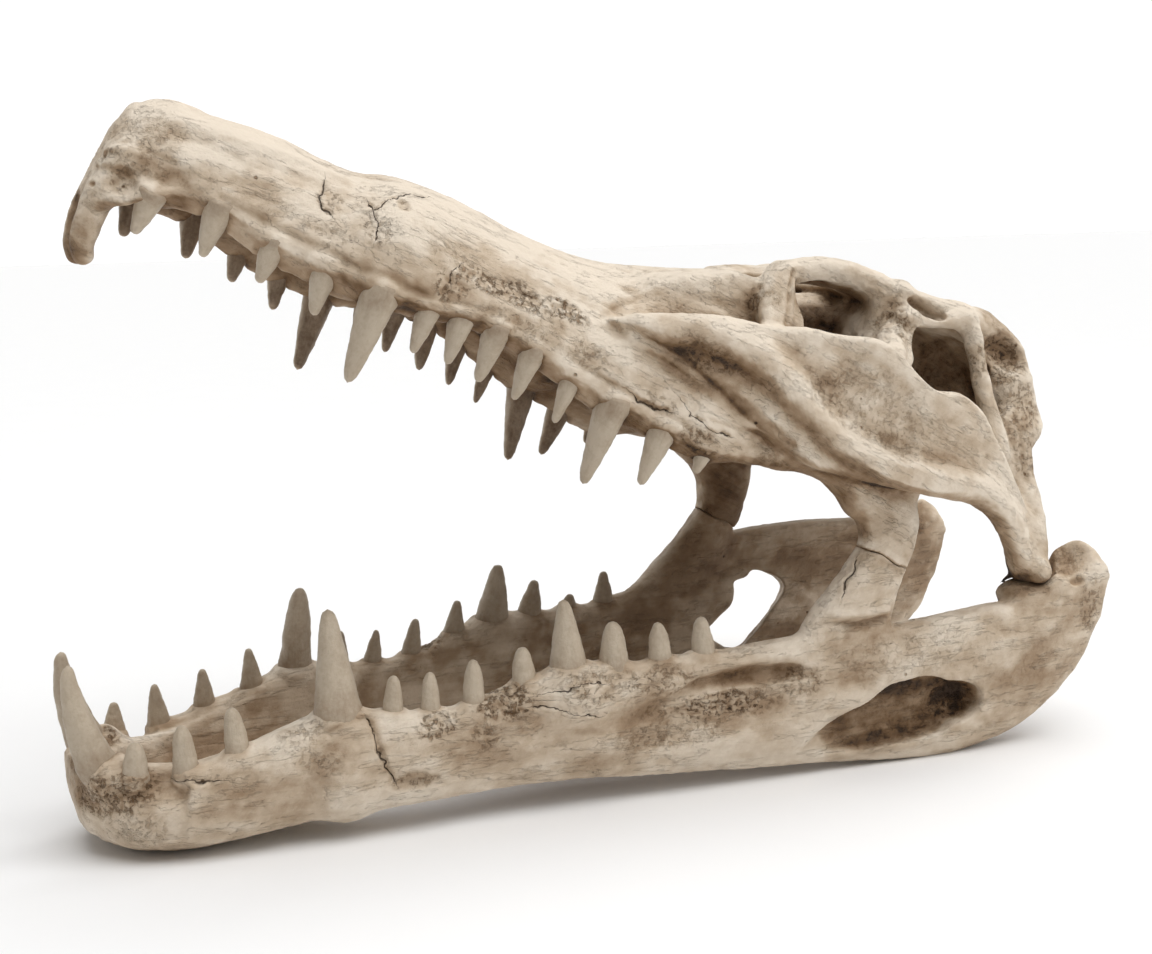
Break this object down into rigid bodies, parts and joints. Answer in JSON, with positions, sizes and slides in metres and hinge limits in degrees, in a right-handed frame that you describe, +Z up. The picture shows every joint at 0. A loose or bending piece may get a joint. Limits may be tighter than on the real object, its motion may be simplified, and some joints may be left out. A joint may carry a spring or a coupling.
{
  "type": "crocodile skull cast",
  "caption": "Long-snouted crocodile skull with open toothed jaws, joined by a post on each side, resting on its lower jaw.",
  "frame": {"origin": "on the floor under the middle of the skull's length and width", "axes": "+X from the snout tip to the back of the jaw, +Y to the animal's right, +Z up"},
  "size_m": [0.302, 0.1012, 0.1895],
  "materials": {
    "resin": "cast resin coloured as old bone: cream with a brown wash in the hollows, dry and matte"
  },
  "bodies": {
    "root": {"snout": "resin", "roof": "resin", "cheek_left": "resin", "cheek_right": "resin", "quadrate_left": "resin", "quadrate_right": "resin", "strut_upper_left": "resin", "strut_upper_right": "resin", "strut_lower_left": "resin", "strut_lower_right": "resin", "jaw_heel_left": "resin", "jaw_heel_right": "resin", "jaw_left": "resin", "jaw_right": "resin"}
  },
  "joints": []
}
